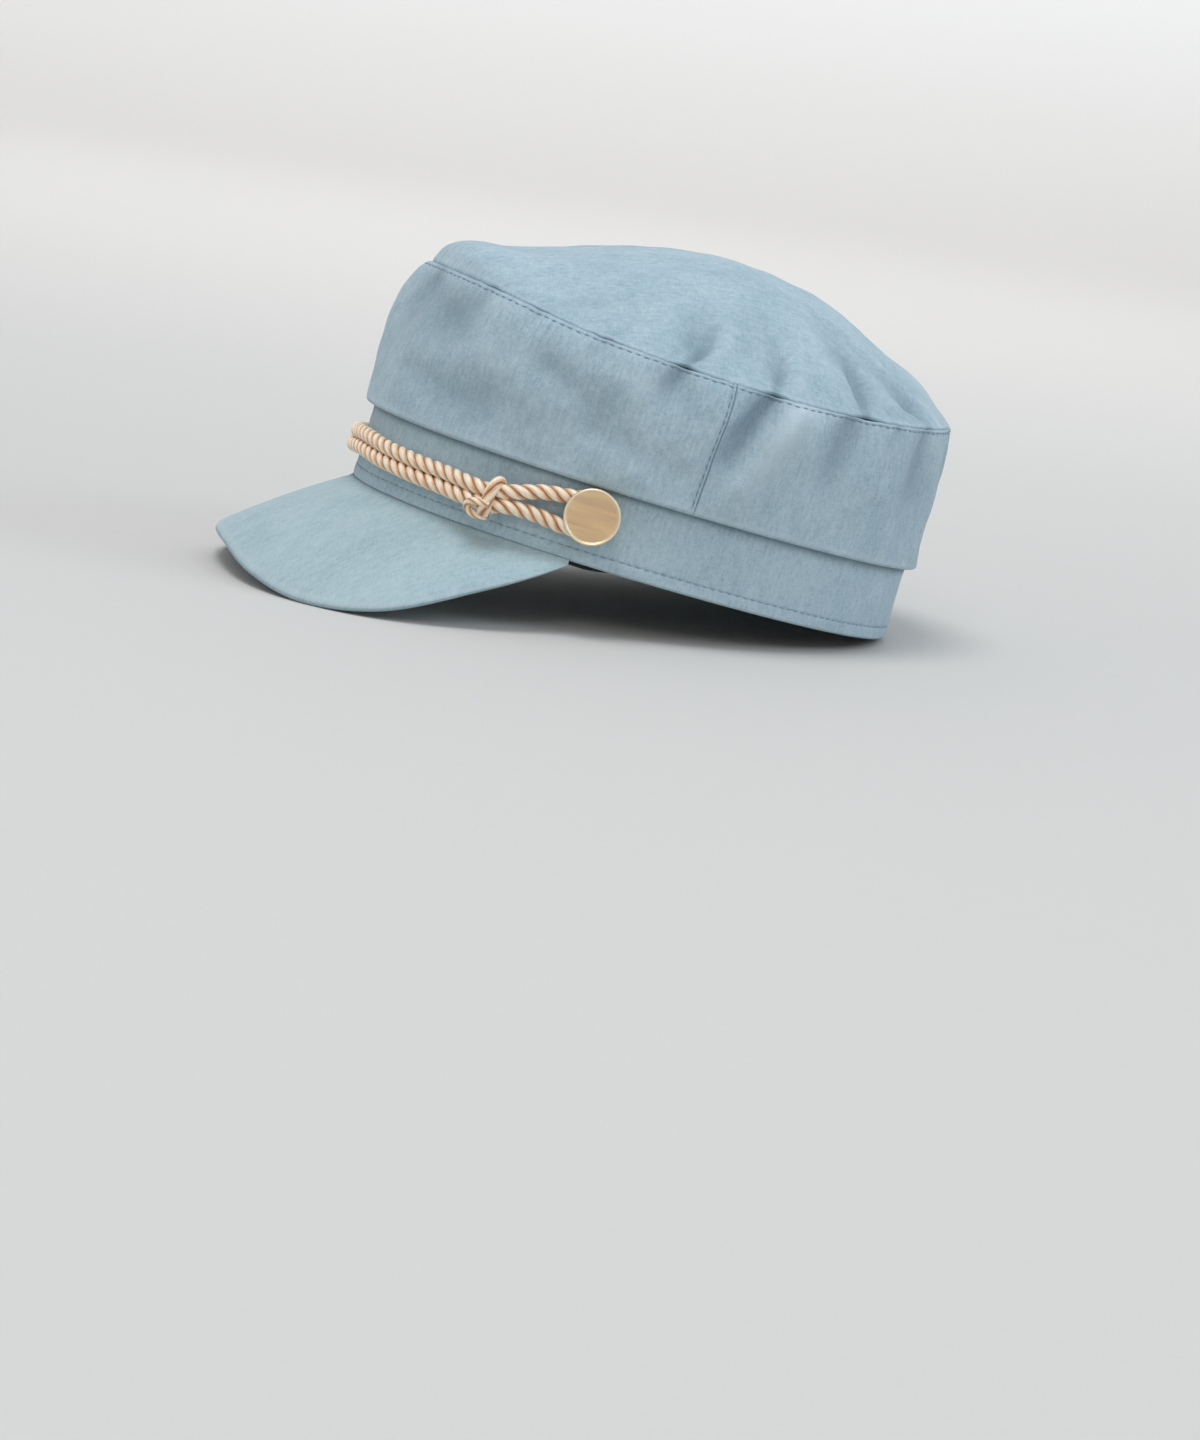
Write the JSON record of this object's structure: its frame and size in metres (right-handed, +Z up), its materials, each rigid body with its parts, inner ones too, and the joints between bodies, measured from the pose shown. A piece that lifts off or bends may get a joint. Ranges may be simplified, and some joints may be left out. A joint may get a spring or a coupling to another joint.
{
  "type": "captain hat",
  "caption": "Soft cloth captain hat with a domed crown, headband, stiff curved peak, and a twisted cord held by two flat metal buttons.",
  "frame": {"origin": "middle of the hat's bounding box, on the surface that it stands on", "axes": "+Z up from that surface, -Y toward the peak, +X toward the wearer's left"},
  "size_m": [0.1738, 0.257, 0.1277],
  "materials": {
    "crown_cloth": "washed pale blue plain-weave linen and cotton cloth, matt",
    "band_cloth": "the same pale blue cloth, doubled and stitched, matt",
    "peak_cloth": "the same pale blue cloth stretched over a stiff board, matt",
    "sweatband_cloth": "black cotton twill, matt",
    "cord_yarn": "three-ply twisted cord of glossy rose champagne yarn",
    "button_brass": "pale brushed brass with a satin sheen and a thin bright rim"
  },
  "bodies": {
    "root": {"crown_top": "crown_cloth", "crown_side_front": "crown_cloth", "crown_side_rear": "crown_cloth", "band": "band_cloth", "sweatband": "sweatband_cloth", "peak": "peak_cloth", "cord_upper": "cord_yarn", "cord_lower": "cord_yarn", "knot_left": "cord_yarn", "knot_right": "cord_yarn", "button_left": "button_brass", "button_right": "button_brass"}
  },
  "joints": []
}
